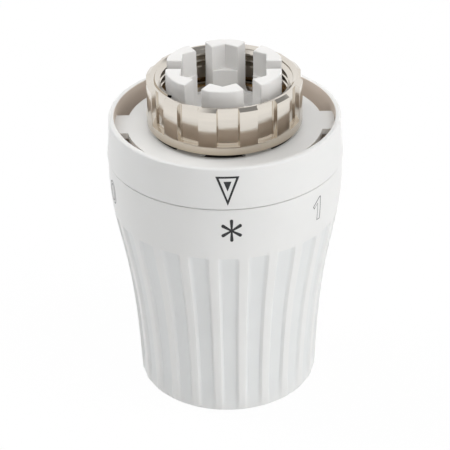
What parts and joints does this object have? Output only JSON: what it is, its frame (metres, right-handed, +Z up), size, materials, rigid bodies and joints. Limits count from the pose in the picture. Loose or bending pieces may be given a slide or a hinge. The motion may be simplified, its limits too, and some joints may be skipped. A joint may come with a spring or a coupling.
{
  "type": "thermostatic radiator valve",
  "caption": "Thermostatic radiator valve head on its end face: fluted handwheel, fixed collar, grooved union nut and claw crown, with a sliding sensor, spring and push rod inside",
  "frame": {"origin": "centre of the ring that the handwheel stands on, on the head's axis", "axes": "+Z runs up the axis from the handwheel to the union nut, which points up; -Y is the front, where the collar's pointer and the handwheel's frost mark line up; +X is the right-hand side seen from the front"},
  "size_m": [0.0533, 0.0532, 0.0796],
  "materials": {
    "white_plastic": "smooth moulded white, satin gloss",
    "inner_plastic": "natural grey moulding",
    "claw_plastic": "off-white moulding",
    "spring_steel": "drawn wire and stamped sheet",
    "seal_rubber": "dark rubber",
    "bronze": "plain bronze sheet",
    "nickel_brass": "nickel plated, satin",
    "can_metal": "drawn can, plain",
    "copper": "pinched copper tube",
    "rod_steel": "turned steel",
    "rod_plastic": "hard dark plastic"
  },
  "bodies": {
    "base": {"base_collar": "white_plastic", "guide_sleeve": "inner_plastic", "cover_disc": "white_plastic", "limit_pins": "inner_plastic", "claw_adapter": "claw_plastic", "adapter_clip": "spring_steel", "neck_seal": "seal_rubber"},
    "wheel": {"handwheel": "white_plastic", "end_cap": "white_plastic", "drive_sleeve": "inner_plastic", "snap_ring": "spring_steel"},
    "carrier": {"sensor_carrier": "inner_plastic", "spring_seat": "spring_steel", "seat_clip": "spring_steel", "overtravel_spring": "spring_steel"},
    "sensor": {"sensor_can": "can_metal", "sensor_lid": "can_metal", "charge_stub": "copper", "bellows": "bronze", "return_spring": "spring_steel"},
    "rod": {"push_rod": "rod_steel", "rod_foot": "rod_steel", "rod_tip": "rod_plastic", "bellows_plate": "bronze"},
    "washer": {"slip_washer": "bronze"},
    "nut": {"union_nut": "nickel_brass"}
  },
  "joints": [
    {"name": "handwheel_turn", "type": "hinge", "parent": "base", "child": "wheel", "pos_m": [0, 0, 0.055], "axis": [0, 0, 1], "range_deg": [-240, 75]},
    {"name": "carrier_travel", "type": "slide", "parent": "base", "child": "carrier", "axis": [0, 0, 1], "range_m": [-0.0049, 0.0016]},
    {"name": "sensor_overtravel", "type": "slide", "parent": "carrier", "child": "sensor", "axis": [0, 0, 1], "range_m": [-0.003, 0], "stiffness_N_per_m": 6000, "springref_m": 0.006, "deforming": ["overtravel_spring"]},
    {"name": "rod_stroke", "type": "slide", "parent": "sensor", "child": "rod", "axis": [0, 0, 1], "range_m": [0, 0.0025], "stiffness_N_per_m": 300, "springref_m": -0.003, "deforming": ["bellows", "return_spring"]},
    {"name": "nut_slide", "type": "slide", "parent": "base", "child": "washer", "axis": [0, 0, 1], "range_m": [0, 0.0028]},
    {"name": "nut_spin", "type": "hinge", "parent": "washer", "child": "nut", "pos_m": [0, 0, 0.068], "axis": [0, 0, 1], "continuous": true}
  ],
  "couplings": [
    {"joint": "carrier_travel", "follows": "handwheel_turn", "m_per_rad": 0.0011459}
  ]
}
